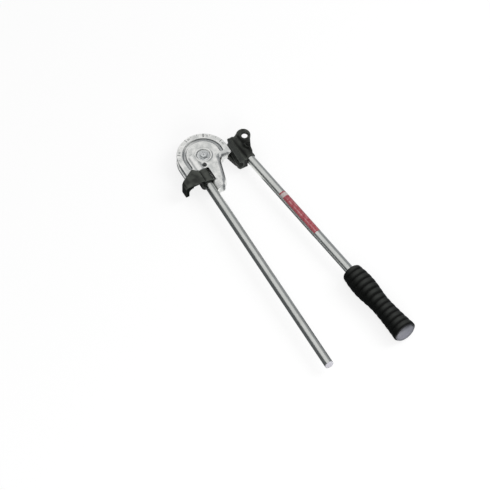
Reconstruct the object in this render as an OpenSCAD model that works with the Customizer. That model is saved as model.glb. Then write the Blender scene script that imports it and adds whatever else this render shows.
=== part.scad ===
// Lever tube bender, lying on its rear side with the former's face up.
// The pivot axis is Z through the origin. The fixed handle runs along -Y.
// The lever stands at the end of a 180 degree bend.

/* [Bend] */
// Outside diameter of the tube that it bends
tube_od = 12; // [10:0.5:12.5]
// Bend radius at the tube's centreline
bend_r = 38; // [37:0.5:42]
// Room round the tube in its grooves, on the radius
groove_clear = 0.05; // [0.02:0.01:0.1]

/* [Former] */
// Thickness of the former
former_t = 17; // [16.5:0.5:20]
// How far the flange rims stop short of the tube's centreline
rim_gap = 1; // [0.6:0.1:1.4]
// Radius of the hub on the front face
hub_r = 24; // [22:0.5:25]
// Width of the ring channel outside the hub
channel_w = 4.5; // [2:0.5:5]
// Depth of the ring channel
channel_d = 3; // [1:0.5:5]
// Length of the entry leg below the pivot
leg_l = 30; // [26:1:40]
// Length of the straight exit below the pivot
exit_l = 13; // [11:0.5:15]
// Height of the bevel on the rear edge of the exit
exit_bevel = 6; // [2:0.5:7]
// Length of the shank below the pivot
shank_l = 57; // [52:1:64]
// Distance of the shank's outer edge from the pivot line, at the exit
shank_top_x = 19; // [15:0.5:20]
// Distance of the shank's outer edge from the pivot line, at its end
shank_end_x = 7; // [3:0.5:8]
// Fillet between the exit and the shank
shank_fillet = 6; // [3:0.5:8]
// Radius of the pivot boss on the face
boss_r = 12; // [11:0.5:13]
// Height of the pivot boss above the face
boss_h = 1; // [0.5:0.1:1.5]
// Diameter of the handle socket's rib
socket_rib_od = 20; // [19:0.5:21]

/* [Handles] */
// Diameter of both handle tubes
handle_od = 12.7; // [12:0.1:13]
// Wall of the handle tubes
handle_wall = 2; // [1.5:0.1:2.5]
// Room round a handle in its socket, on the radius
socket_clear = 0.05; // [0.02:0.01:0.1]
// Distance of the fixed handle from the pivot line
fixed_x = 15; // [14.8:0.1:16]
// Length of the fixed handle below the pivot
fixed_l = 385; // [300:1:450]
// How far the fixed handle reaches above the pivot in its socket
fixed_in = 5; // [2:0.5:8]
// Length of the plug's spigot in the fixed handle
plug_l = 14; // [8:1:20]
// Diameter of the screw that locks the fixed handle
lock_d = 6; // [5:0.5:6.5]
// How deep the lock screw sits below the face
lock_sunk = 4; // [3:0.5:5]
// How far the lock screw bites into the handle
lock_bite = 0.9; // [0.5:0.1:1.2]
// Distance of the lock screw below the pivot
lock_y = 15; // [14:0.5:16]

/* [Pivot] */
// Diameter of the pivot pin
pin_d = 10; // [9:0.5:10]
// Running room between pin and bush, on the radius
pin_clear = 0.04; // [0.02:0.01:0.08]
// Wall of the bush
bush_wall = 1.5; // [1:0.1:1.7]
// Diameter of the pin's head
pin_head_d = 16; // [14:0.5:18]
// Thickness of the pin's head
pin_head_t = 3; // [2:0.5:4]
// Diameter of the washer under the circlip
pivot_washer_d = 18; // [16:0.5:18.5]
// Thickness of that washer
pivot_washer_t = 1; // [0.8:0.1:1.2]
// Thickness of the circlip
circlip_t = 1; // [0.8:0.1:1.2]
// Thickness of the ring between arm and former
thrust_t = 0.7; // [0.5:0.1:1]
// Gap between faces that turn on each other
run_gap = 0.1; // [0.05:0.05:0.2]

/* [Lever] */
// Thickness of the arm behind the former
arm_t = 8.2; // [7.5:0.1:9]
// Radius of the arm's round end
arm_r = 16; // [15:0.5:17]
// Angle between the forming handle and the fixed handle
splay = 7.25; // [4:0.25:10]
// Distance of the forming handle's line from the back of the shoe
lever_gap = 6.3; // [6:0.1:9]
// Diameter of the lever's handle socket
lever_socket_od = 16.5; // [16:0.5:18]
// Length of the handle in that socket
lever_socket_l = 25; // [20:0.5:27]
// Distance of the socket's mouth along the handle's line
lever_socket_end = 38; // [36:0.5:44]
// Distance of the forming handle's far end along its line
lever_l = 397; // [330:1:450]
// Length of the shoe below the pivot
shoe_l = 34.5; // [32:0.5:40]
// Length of the shoe above the pivot
shoe_lead = 9.5; // [8:0.5:10]
// Height of the shoe
shoe_h = 14.2; // [14:0.1:15]
// Metal behind the groove in the shoe
shoe_back = 1.6; // [1.2:0.1:1.7]
// Diameter of the shoe screws
shoe_screw_d = 4; // [3:0.5:4]
// Radius of the eye's ring
eye_r = 10; // [8.5:0.1:10.5]
// Diameter of the hole in the eye
eye_hole_d = 8.4; // [7:0.1:9]
// Thickness of the eye
eye_t = 5; // [4:0.5:6]
// Distance of the eye from the forming handle's line
eye_off = 14.6; // [14:0.1:17]
// Diameter of the set screw on the forming handle
set_d = 5; // [4:0.5:6]
// Place of the set screw along the handle's line
set_at = 20; // [19:0.5:24]
// Height of the boss round the set screw, from the handle's line
set_boss = 10.4; // [9:0.2:11]

/* [Label and grip] */
// Start of the label along the handle's line
label_at = 112; // [60:1:150]
// Length of the label
label_l = 82; // [40:1:100]
// Thickness of the label
label_t = 0.15; // [0.1:0.05:0.3]
// Length of the grip
grip_l = 125; // [100:1:140]
// Diameter at the grip's shoulder
grip_shoulder_d = 33.4; // [28:0.2:34.8]
// Diameter at the grip's waist
grip_waist_d = 27.4; // [24:0.2:29]
// Diameter at the grip's end
grip_end_d = 34.8; // [33:0.2:35]
// Number of ribs on the grip
rib_n = 13; // [8:1:16]
// Height of the ribs
rib_h = 0.6; // [0.4:0.1:1]
// Diameter of the end cap
cap_d = 30.8; // [26:0.2:31]
// Thickness of the end cap
cap_t = 3; // [2:0.5:5]
// Length of the cap's spigot in the handle
spigot_l = 14; // [8:1:20]

/* [Latch] */
// Diameter of the latch's sleeve
sleeve_od = 21; // [19:0.5:21]
// Running room between sleeve and handle, on the radius
sleeve_clear = 0.06; // [0.03:0.01:0.1]
// Length of the sleeve
sleeve_l = 21; // [18:0.5:21.5]
// Top of the sleeve below the pivot
sleeve_y = 21.2; // [21:0.1:22]
// Thickness of the washer above the sleeve
latch_washer_t = 0.5; // [0.3:0.1:0.6]
// Thickness of the hook over the former's face
hook_t = 4; // [3:0.5:5]
// Thickness of the hook's finger outside the tube
finger_t = 5.6; // [4:0.2:7]
// How far the finger reaches below the tube's centre
finger_reach = 8; // [6:0.5:9]
// Gap between the hook and the former's face
hook_gap = 0.4; // [0.3:0.1:0.6]

/* [Hidden] */
$fn = 96;
eps = 0.01;
far = 200;

// Levels, from the ground up
z_back = arm_t + thrust_t + run_gap;
z_face = z_back + former_t;
z_mid = z_back + former_t / 2;

// Former
groove_r = tube_od / 2 + groove_clear;
flange_r = bend_r - rim_gap;
channel_r = hub_r + channel_w;
handle_r = handle_od / 2;
socket_r = handle_r + socket_clear;
slot_room = 0.5;
slot_half = sleeve_od / 2 + slot_room;
slot_top = sleeve_y - latch_washer_t - run_gap;
slot_end = sleeve_y + sleeve_l + run_gap;
shank_slope = (shank_top_x - shank_end_x) / (shank_l - exit_l);
shank_round = 7.5;
saddle_wall = 4;
saddle_slope = 8;
channel_start = -7;
channel_drop = 14;

// Pivot, from the pocket in the boss outwards
pin_r = pin_d / 2;
bush_in = pin_r + pin_clear;
bush_out = bush_in + bush_wall;
pocket_room = 0.5;
pocket_r = pivot_washer_d / 2 + pocket_room;
pocket_d = pivot_washer_t + pocket_room;
z_pocket = z_face - pocket_d;
screw_sunk = 0.5;
pin_fit = 0.02;
head_fit = 0.2;
z_washer = z_pocket + run_gap;
z_circlip = z_washer + pivot_washer_t + run_gap / 2;
circlip_bite = 0.8;
circlip_w = 2.6;
circlip_in = pin_r - circlip_bite;
circlip_out = circlip_in + circlip_w;
pin_bevel = 0.8;
pin_land = 0.5;
z_pin_end = z_circlip + circlip_t + pin_land + pin_bevel;
thrust_inset = 1.5;

// Fixed handle and its lock screw
end_gap = 0.5;
plug_head_t = 1.2;
latch_washer_inset = 1;
lock_r = lock_d / 2;
lock_fit = 0.08;
lock_x = -fixed_x + handle_r - lock_bite + lock_r;
lock_l = 9;

// Lever
lip_gap = 0.4;
lip_x = bend_r + lip_gap;
lip_top = -1;
shoe_back_x = bend_r + groove_r + shoe_back;
lever_off = shoe_back_x + lever_gap;
z_shoe = z_mid - shoe_h / 2;
shoe_flare = 3.6;
seat_fit = 0.05;
lever_socket_r = lever_socket_od / 2;
bore_at = lever_socket_end - lever_socket_l;
eye_at = 4;
eye_lean = 1;
eye_rise = 1.6;
eye_z = z_mid + 4;
eye_bevel = 1.5;
eye_left = 102;
eye_right = -8;
eye_web = 20;
eye_web_edge = 2.5;
web_t = 6;
web_end = 6;
socket_nose = 1.5;
seat_wall = 5;
arm_near = 2.5;
arm_far = 13;
arm_in = 4.5;
pad_in = 2;
pad_out = 6.5;
pad_short = 6.5;
shoe_screw_in = 0.9;
shoe_screw_depth = 2.5;
shoe_screw_x = bend_r + groove_r - shoe_screw_in;
shoe_screw_y = [-shoe_l + 12, shoe_lead - 8];
shoe_screw_head_d = shoe_screw_d * 1.8;
shoe_screw_head_t = 2.4;
set_turn = 45;
set_wall = 2;
set_boss_d = set_d + 2 * set_wall;
set_sunk = 0.6;

// Grip
grip_at = lever_l - grip_l;
grip_steps = 8 * rib_n;
shoulder_s = 0.24;
waist_s = 0.56;
nose_drop = 3;
end_flare = 1.6;
cap_proud = 1.2;
cap_rim = 1.6;
cap_dish = 3;
cap_dish_lean = 6;

// Latch
sleeve_r = sleeve_od / 2;
z_hook = z_face + hook_gap;
hook_room = 0.3;
hook_r = groove_r + hook_room;
hook_in = bend_r + hook_r;
hook_out = hook_in + finger_t;
hook_right = fixed_x + 5;
hook_notch = 2.5;
hook_corner = 7.5;
hook_top = 16;
hook_slant = 14.5;
hook_bevel = 3;
hook_web_x = fixed_x + sleeve_r - 0.5;

// A frame along the forming handle: z runs from the pivot's level outwards to the grip
module along_lever(at) {
    rotate([0, 0, splay])
        translate([lever_off, -at, z_mid])
            rotate([90, 0, 0])
                children();
}

// The set screw's line, from the forming handle's line up and outwards
module set_screw_line() {
    along_lever(set_at)
        rotate([0, 0, set_turn])
            rotate([0, 90, 0])
                children();
}

// A frame along the fixed handle: z runs from the pivot towards its bare end
module along_fixed(at) {
    translate([-fixed_x, -at, z_mid])
        rotate([90, 0, 0])
            children();
}

module ring(outer, inner, height) {
    difference() {
        cylinder(r = outer, h = height);
        translate([0, 0, -eps])
            cylinder(r = inner, h = height + 2 * eps);
    }
}

// A hexagon socket, cut downwards from z = 0
module hex_socket(across, depth) {
    translate([0, 0, -depth])
        cylinder(d = across * 2 / sqrt(3), h = depth + eps, $fn = 6);
}

// The fillet in the corner at p between two directions a and b, in degrees
module corner_fillet(p, a, b, r) {
    half = (b - a) / 2;
    reach = r / tan(half);
    depth = r / sin(half);
    difference() {
        polygon([
            p,
            p + reach * [cos(a), sin(a)],
            p + reach * [cos(b), sin(b)]
        ]);
        translate(p + depth * [cos(a + half), sin(a + half)])
            circle(r = r);
    }
}

// Plan of the former
module former_plan() {
    shank_angle = 180 + atan(1 / shank_slope);
    difference() {
        circle(r = flange_r);
        translate([-far, -far])
            square([2 * far, far]);
    }
    translate([-flange_r, -leg_l])
        square([flange_r - fixed_x - slot_half, leg_l]);
    translate([-flange_r, -slot_top])
        square([flange_r, slot_top]);
    translate([0, -exit_l])
        square([flange_r, exit_l]);
    polygon([
        [-fixed_x, 0],
        [shank_top_x, 0],
        [shank_top_x, -exit_l],
        [shank_top_x - shank_slope * (shank_l - shank_round - exit_l), -shank_l + shank_round],
        [shank_end_x - shank_round, -shank_l],
        [-fixed_x, -shank_l],
        [-fixed_x, -slot_top]
    ]);
    translate([shank_end_x - shank_round + shank_slope, -shank_l + shank_round])
        circle(r = shank_round);
    corner_fillet([shank_top_x, -exit_l], shank_angle, 360, shank_fillet);
}

// The channel outside the hub on the front face
module channel_plan() {
    intersection() {
        difference() {
            circle(r = channel_r);
            circle(r = hub_r);
        }
        polygon([
            [0, 0],
            far * [cos(channel_start), sin(channel_start)],
            [far, far],
            [-far, far],
            [-far, 0]
        ]);
    }
    translate([-channel_r, -channel_drop + channel_w / 2])
        square([channel_w, channel_drop - channel_w / 2]);
    translate([-hub_r - channel_w / 2, -channel_drop + channel_w / 2])
        circle(d = channel_w);
    translate((hub_r + channel_w / 2) * [cos(channel_start), sin(channel_start)])
        circle(d = channel_w);
}

// The groove that the tube lies in: entry, half turn and exit
module tube_groove() {
    translate([0, 0, z_mid])
        rotate_extrude(angle = 180)
            translate([bend_r, 0])
                circle(r = groove_r);
    for (side = [-1, 1])
        translate([side * bend_r, 0, z_mid])
            rotate([90, 0, 0])
                cylinder(r = groove_r, h = far);
}

module bend_former() {
    color("Gainsboro")
    difference() {
        union() {
            translate([0, 0, z_back])
                linear_extrude(former_t)
                    former_plan();
            translate([0, 0, z_face - eps])
                cylinder(r = boss_r, h = boss_h + eps);
            intersection() {
                along_fixed(-fixed_in - handle_wall)
                    cylinder(d = socket_rib_od, h = slot_top + fixed_in + handle_wall);
                translate([-far, -far, z_mid])
                    cube([2 * far, 2 * far, far]);
            }
        }
        tube_groove();
        translate([0, 0, z_face - channel_d])
            linear_extrude(channel_d + eps)
                channel_plan();
        // window for the latch's sleeve, open on the left below the entry leg
        translate([-fixed_x - slot_half, -slot_end, 0])
            cube([2 * slot_half, slot_end - slot_top, far]);
        // the handle lies open on the shank's saddle
        translate([-fixed_x - slot_half, -far, z_mid])
            cube([slot_half + socket_r, far - slot_end + eps, far]);
        // the shank's face falls away towards the handle
        translate([-fixed_x, -slot_end + eps, z_mid])
            rotate([90, 0, 0])
                linear_extrude(far)
                    polygon([
                        [0, saddle_wall],
                        [socket_r, saddle_wall],
                        [socket_r + saddle_slope, former_t / 2],
                        [socket_r + saddle_slope, former_t],
                        [0, former_t]
                    ]);
        along_fixed(-fixed_in)
            cylinder(r = socket_r, h = far);
        translate([lock_x, -lock_y, z_face - lock_sunk - lock_l])
            cylinder(r = lock_r + lock_fit, h = far);
        translate([0, 0, -eps])
            cylinder(r = bush_out, h = far);
        translate([0, 0, z_pocket])
            cylinder(r = pocket_r, h = far);
        // bevel on the rear edge of the exit
        translate([shank_top_x + shank_fillet, -exit_l, z_back])
            rotate([90, 0, 90])
                linear_extrude(far)
                    polygon([[-eps, -eps], [exit_bevel, -eps], [-eps, exit_bevel]]);
    }
}

module pivot_bush() {
    color("DarkGoldenrod")
    translate([0, 0, z_back])
        ring(bush_out - pin_fit, bush_in, z_pocket - z_back);
}

module pivot_pin() {
    color("Silver")
    difference() {
        union() {
            cylinder(d = pin_head_d, h = pin_head_t);
            cylinder(r = pin_r, h = z_pin_end - pin_bevel);
            translate([0, 0, z_pin_end - pin_bevel])
                cylinder(r1 = pin_r, r2 = pin_r - pin_bevel, h = pin_bevel);
        }
        translate([0, 0, z_circlip - run_gap / 2])
            ring(circlip_out, circlip_in - pin_fit, circlip_t + run_gap);
    }
}

module pivot_washer() {
    color("Silver")
    translate([0, 0, z_washer])
        ring(pivot_washer_d / 2, pin_r + pin_clear, pivot_washer_t);
}

module pivot_circlip() {
    color("DimGray")
    translate([0, 0, z_circlip])
        difference() {
            ring(circlip_out, circlip_in, circlip_t);
            translate([-pin_r / 2, -far, -eps])
                cube([pin_r, far, circlip_t + 2 * eps]);
        }
}

module thrust_washer() {
    color("DarkGoldenrod")
    translate([0, 0, arm_t])
        ring(arm_r - thrust_inset, pin_r + pin_clear, thrust_t);
}

module fixed_handle() {
    color("LightSteelBlue")
    difference() {
        along_fixed(-fixed_in + end_gap)
            ring(handle_r, handle_r - handle_wall, fixed_l + fixed_in - end_gap);
        translate([lock_x, -lock_y, 0])
            cylinder(r = lock_r + lock_fit, h = far);
    }
}

module fixed_handle_plug() {
    color("Lavender")
    along_fixed(fixed_l) {
        cylinder(r = handle_r, h = plug_head_t);
        translate([0, 0, -plug_l])
            cylinder(r = handle_r - handle_wall - pin_fit, h = plug_l + eps);
    }
}

module handle_lock_screw() {
    color("DimGray")
    translate([lock_x, -lock_y, z_face - lock_sunk])
        difference() {
            translate([0, 0, -lock_l])
                cylinder(r = lock_r, h = lock_l);
            hex_socket(lock_r, lock_r);
        }
}

module latch_washer() {
    color("Silver")
    along_fixed(slot_top)
        ring(sleeve_r - latch_washer_inset, socket_r, latch_washer_t);
}

// Plan of the arm behind the former
module arm_plan() {
    circle(r = arm_r);
    polygon([
        [0, -arm_near],
        [lip_x - arm_in, -arm_near],
        [lip_x - pad_in, -exit_l],
        [lip_x + pad_in, -shoe_l + pad_short],
        [shoe_back_x + pad_out, -shoe_l + pad_short],
        [shoe_back_x + pad_out, shoe_lead],
        [lip_x + shoe_flare, shoe_lead],
        [0, arm_far]
    ]);
}

// Plan of the shoe and of the seat under it, out to a given line
module shoe_plan(outer) {
    polygon([
        [lip_x, -shoe_l],
        [outer, -shoe_l],
        [outer, shoe_lead],
        [lip_x + shoe_flare, shoe_lead],
        [lip_x, lip_top]
    ]);
}

// Plan of the eye and the web that carries it, beside the handle's line
module eye_plan() {
    ring_x = eye_off - eye_lean;
    ring_y = eye_rise - eye_at;
    translate([ring_x, ring_y])
        circle(r = eye_r);
    polygon([
        [0, socket_nose],
        [ring_x + eye_r * cos(eye_left), ring_y + eye_r * sin(eye_left)],
        [ring_x + eye_r * cos(eye_right), ring_y + eye_r * sin(eye_right)],
        [lever_socket_r + eye_web_edge, -eye_at - eye_web],
        [lever_socket_r, -lever_socket_end + web_end],
        [0, -lever_socket_end + web_end]
    ]);
}

module lever_head() {
    color("DarkSlateGray")
    difference() {
        union() {
            linear_extrude(arm_t)
                arm_plan();
            translate([0, 0, arm_t - eps])
                linear_extrude(z_shoe + shoe_h - arm_t)
                    shoe_plan(shoe_back_x + seat_wall);
            along_lever(-socket_nose)
                cylinder(r = lever_socket_r, h = lever_socket_end + socket_nose);
            set_screw_line()
                cylinder(d = set_boss_d, h = set_boss);
            rotate([0, 0, splay])
                translate([lever_off, 0, eye_z - eye_t / 2])
                    linear_extrude(eye_t)
                        eye_plan();
            // foot that joins the socket to the arm
            rotate([0, 0, splay])
                translate([lever_off - web_t / 2, -lever_socket_end + web_end, 0])
                    cube([web_t, lever_socket_end - web_end, z_mid]);
        }
        // pocket of the shoe
        translate([0, 0, z_shoe - seat_fit])
            linear_extrude(far)
                translate([shoe_back_x + seat_fit - far, -far])
                    square([far, 2 * far]);
        along_lever(bore_at)
            cylinder(r = socket_r, h = far);
        rotate([0, 0, splay])
            translate([lever_off + eye_off, -eye_at, eye_z]) {
                cylinder(d = eye_hole_d, h = far, center = true);
                for (side = [0, 180])
                    rotate([side, 0, 0])
                        translate([0, 0, eye_t / 2 - eye_bevel])
                            cylinder(
                                d1 = eye_hole_d,
                                d2 = eye_hole_d + 4 * eye_bevel,
                                h = 2 * eye_bevel
                            );
            }
        set_screw_line()
            cylinder(d = set_d + 2 * pin_fit, h = far);
        translate([0, 0, -eps])
            cylinder(r = pin_r + pin_fit, h = far);
        translate([0, 0, -eps])
            cylinder(d = pin_head_d + 2 * head_fit, h = pin_head_t + 2 * eps);
        for (y = shoe_screw_y)
            translate([shoe_screw_x, y, -eps]) {
                cylinder(d = shoe_screw_d + 2 * head_fit, h = far);
                cylinder(d = shoe_screw_head_d + 2 * head_fit, h = screw_sunk + shoe_screw_head_t + eps);
            }
    }
}

module forming_shoe() {
    color("DarkOliveGreen")
    difference() {
        translate([0, 0, z_shoe])
            linear_extrude(shoe_h)
                shoe_plan(shoe_back_x);
        translate([bend_r, far / 2, z_mid])
            rotate([90, 0, 0])
                cylinder(r = groove_r, h = far);
        for (y = shoe_screw_y)
            translate([shoe_screw_x, y, 0])
                cylinder(d = shoe_screw_d + pin_fit, h = z_shoe + shoe_screw_depth + end_gap);
    }
}

module shoe_screws() {
    color("DimGray")
    for (y = shoe_screw_y)
        translate([shoe_screw_x, y, screw_sunk])
            difference() {
                union() {
                    cylinder(d = shoe_screw_head_d, h = shoe_screw_head_t);
                    cylinder(d = shoe_screw_d, h = z_shoe + shoe_screw_depth - screw_sunk);
                }
                rotate([180, 0, 0])
                    hex_socket(shoe_screw_d / 2, shoe_screw_head_t / 2);
            }
}

module forming_handle() {
    color("LightSteelBlue")
    along_lever(bore_at + end_gap)
        ring(handle_r, handle_r - handle_wall, lever_l - cap_t - bore_at - 2 * end_gap);
}

module handle_set_screw() {
    set_l = set_boss - set_sunk - handle_r - pin_fit;
    color("DimGray")
    set_screw_line()
        translate([0, 0, set_boss - set_sunk])
            difference() {
                translate([0, 0, -set_l])
                    cylinder(d = set_d, h = set_l);
                hex_socket(set_d / 2, set_d / 3);
            }
}

module handle_label() {
    color("Firebrick")
    along_lever(label_at)
        ring(handle_r + label_t, handle_r, label_l);
}

// Radius of the grip, without its ribs, at a share s of its length
function grip_line(s) =
    s < shoulder_s ? grip_shoulder_d / 2 - nose_drop * pow(1 - s / shoulder_s, 2) :
    s < waist_s ? grip_waist_d / 2 + (grip_shoulder_d - grip_waist_d) / 4
        * (1 + cos(180 * (s - shoulder_s) / (waist_s - shoulder_s))) :
    grip_waist_d / 2 + (grip_end_d - grip_waist_d) / 2 * pow((s - waist_s) / (1 - waist_s), end_flare);

// The ribs stand on that line, with one rounded rib in each pitch
function grip_radius(s) = grip_line(s) - rib_h * pow(cos(180 * rib_n * s), 2);

module grip() {
    color("Black")
    along_lever(grip_at)
        difference() {
            rotate_extrude()
                polygon(concat(
                    [[0, 0]],
                    [for (i = [0 : grip_steps]) [grip_radius(i / grip_steps), grip_l * i / grip_steps]],
                    [[0, grip_l]]
                ));
            translate([0, 0, -eps])
                cylinder(r = handle_r + socket_clear, h = grip_l - cap_t);
            translate([0, 0, grip_l - cap_t])
                cylinder(d = cap_d + 2 * socket_clear, h = cap_t + eps);
        }
}

module grip_end_cap() {
    color("DarkGray")
    along_lever(lever_l - cap_t) {
        difference() {
            cylinder(d = cap_d, h = cap_t + cap_proud);
            // the cap's face is dished
            translate([0, 0, cap_t + cap_proud - cap_dish])
                cylinder(
                    r1 = cap_d / 2 - cap_rim - cap_dish_lean,
                    r2 = cap_d / 2 - cap_rim,
                    h = cap_dish + eps
                );
        }
        translate([0, 0, -spigot_l])
            cylinder(r = handle_r - handle_wall - pin_fit, h = spigot_l + eps);
    }
}

// Plan of the latch's hook
module hook_plan() {
    polygon([
        [-hook_right, -sleeve_y],
        [-hook_right - hook_notch, -sleeve_y],
        [-hook_right - hook_corner, -hook_top],
        [-hook_out, -hook_top - hook_slant],
        [-hook_out, -sleeve_y - sleeve_l],
        [-hook_right, -sleeve_y - sleeve_l]
    ]);
}

// Section of the hook across the tube
module hook_section() {
    polygon([
        [-hook_right, z_hook],
        [-flange_r - rim_gap / 2, z_hook],
        [-flange_r - rim_gap / 2, z_mid],
        [-hook_in, z_mid],
        [-hook_in, z_mid - finger_reach],
        [-hook_out, z_mid - finger_reach],
        [-hook_out, z_hook + hook_t - hook_bevel],
        [-hook_out + hook_bevel, z_hook + hook_t],
        [-hook_right, z_hook + hook_t]
    ]);
}

module tube_latch() {
    color("DarkSlateGray")
    difference() {
        union() {
            along_fixed(sleeve_y)
                cylinder(r = sleeve_r, h = sleeve_l);
            // web that joins the hook to the sleeve
            translate([-hook_web_x, -sleeve_y - sleeve_l, z_mid])
                cube([hook_web_x - hook_right, sleeve_l, z_hook - z_mid + eps]);
            intersection() {
                linear_extrude(far)
                    hook_plan();
                rotate([90, 0, 0])
                    linear_extrude(far)
                        hook_section();
            }
        }
        translate([-bend_r, 0, z_mid])
            rotate([90, 0, 0])
                cylinder(r = hook_r, h = far);
        along_fixed(0)
            cylinder(r = handle_r + sleeve_clear, h = far);
    }
}

bend_former();
pivot_bush();
fixed_handle();
fixed_handle_plug();
handle_lock_screw();
latch_washer();
lever_head();
forming_shoe();
shoe_screws();
pivot_pin();
pivot_washer();
pivot_circlip();
thrust_washer();
forming_handle();
handle_set_screw();
handle_label();
grip();
grip_end_cap();
tube_latch();
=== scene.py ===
import bpy
import bmesh
import math
import numpy as np
from mathutils import Matrix, Vector
from mathutils.kdtree import KDTree


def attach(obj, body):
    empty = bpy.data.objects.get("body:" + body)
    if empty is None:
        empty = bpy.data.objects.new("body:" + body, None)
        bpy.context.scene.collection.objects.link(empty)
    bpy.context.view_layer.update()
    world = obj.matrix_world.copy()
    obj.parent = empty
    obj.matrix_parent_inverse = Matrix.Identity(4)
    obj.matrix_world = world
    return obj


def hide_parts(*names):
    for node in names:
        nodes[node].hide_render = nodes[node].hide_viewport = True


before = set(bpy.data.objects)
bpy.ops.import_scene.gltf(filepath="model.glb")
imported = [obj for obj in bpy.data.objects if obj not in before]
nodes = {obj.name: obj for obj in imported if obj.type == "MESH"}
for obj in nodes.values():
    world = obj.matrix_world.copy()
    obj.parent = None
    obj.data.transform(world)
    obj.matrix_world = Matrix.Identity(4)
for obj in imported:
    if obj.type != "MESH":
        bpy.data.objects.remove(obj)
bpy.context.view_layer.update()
scene = bpy.context.scene
mm = 0.001
print("frame loaded with", len(nodes), "nodes")

# where the handles lie, in mm and degrees, as in the part
layout = {
    "zMid": 17.5,  # axes of both handles
    "zFace": 26.0,  # front face of the former
    "fixedX": 15.0,
    "fixedIn": 4.5,  # past the pivot, into its socket
    "fixedEnd": 385.0,
    "leverOff": 51.95,
    "leverStart": 13.5,
    "leverEnd": 397.0,
    "capRoom": 3.5,  # from the forming handle's end to the cap's
    "splay": 7.25,
    "tubeRadius": 6.35,
    "tubeWall": 2.0,
}


def at(x, y, z):  # a move, in mm
    return Matrix.Translation(Vector((x, y, z)) * mm)


def turned(angle, axis):  # a turn, in degrees
    return Matrix.Rotation(math.radians(angle), 4, axis)


def alongLever(run):  # z runs down the forming handle
    return turned(layout["splay"], "Z") @ at(layout["leverOff"], -run, layout["zMid"]) @ turned(90, "X")


def alongFixed(run):  # z runs down the fixed handle
    return at(-layout["fixedX"], -run, layout["zMid"]) @ turned(90, "X")


upright = Matrix.Identity(4)


def linearColour(code):  # "#rrggbb" as written, to the linear values that nodes take
    parts = [int(code[i:i + 2], 16) / 255 for i in (1, 3, 5)]
    return [c / 12.92 if c <= 0.04045 else ((c + 0.055) / 1.055) ** 2.4 for c in parts] + [1.0]


def perMm(size):  # texture scale for a pattern of that size in mm, on coordinates in metres
    return 1 / (size * mm)


def addNode(tree, kind, inputs=None, **settings):  # inputs are sockets to link, "#rrggbb" colours or values
    node = tree.nodes.new(kind)
    for name, value in settings.items():
        setattr(node, name, value)
    for key, value in (inputs or {}).items():
        if isinstance(value, bpy.types.NodeSocket):
            tree.links.new(value, node.inputs[key])
        else:
            isColour = isinstance(value, str) and value.startswith("#")
            node.inputs[key].default_value = linearColour(value) if isColour else value
    return node


def newMaterial(name):
    material = bpy.data.materials.new(name)
    material.use_nodes = True
    material.node_tree.nodes.clear()
    return material, material.node_tree


def closeMaterial(material, shader):
    addNode(material.node_tree, "ShaderNodeOutputMaterial", {"Surface": shader.outputs[0]})
    return material


# Mix takes its share at 0 and its colours at 6 and 7,
# and Map Range takes a value at 0, from the range at 1 and 2 to the range at 3 and 4
def cloudyColour(tree, noise, dark, light, low=0.0, high=1.0):  # two shades that drift with a noise
    tone = addNode(tree, "ShaderNodeMapRange", {0: noise.outputs[0], 1: low, 2: high})
    return addNode(tree, "ShaderNodeMix", {0: tone.outputs[0], 6: dark, 7: light}, data_type="RGBA")


def markedColour(tree, mark, base, colour):  # another colour over the base where the points carry a mark
    share = addNode(tree, "ShaderNodeAttribute", attribute_name=mark).outputs["Fac"]
    return addNode(tree, "ShaderNodeMix", {0: share, 6: base.outputs[2], 7: colour}, data_type="RGBA")


# sand-cast aluminium, tumbled: pale satin silver, cloudy, painted shade in hollows, edges paler by wear and
# painted highlight
def makeCastAluminium():
    material, tree = newMaterial("castAluminiumTumbled")
    place = addNode(tree, "ShaderNodeTexCoord").outputs["Object"]
    cloud = addNode(tree, "ShaderNodeTexNoise", {
        "Vector": place, "Scale": perMm(11), "Detail": 5.0, "Roughness": 0.6})
    grain = addNode(tree, "ShaderNodeTexNoise", {"Vector": place, "Scale": perMm(1.1), "Detail": 3.0})
    base = cloudyColour(tree, cloud, "#d9dbd9", "#fffffc", 0.4, 0.6)
    shaded = markedColour(tree, "paintedShade", base, "#7d8184")
    worn = markedColour(tree, "edge", shaded, "#fcfcfa")
    rough = addNode(tree, "ShaderNodeMapRange", {0: grain.outputs[0], 1: 0.3, 2: 0.7, 3: 0.24, 4: 0.38})
    bump = addNode(tree, "ShaderNodeBump", {
        "Height": grain.outputs[0], "Strength": 0.25, "Distance": 0.15 * mm})
    shader = addNode(tree, "ShaderNodeBsdfPrincipled", {
        "Base Color": worn.outputs[2], "Metallic": 1.0, "Roughness": rough.outputs[0],
        "Normal": bump.outputs[0]})
    return closeMaterial(material, shader)
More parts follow.
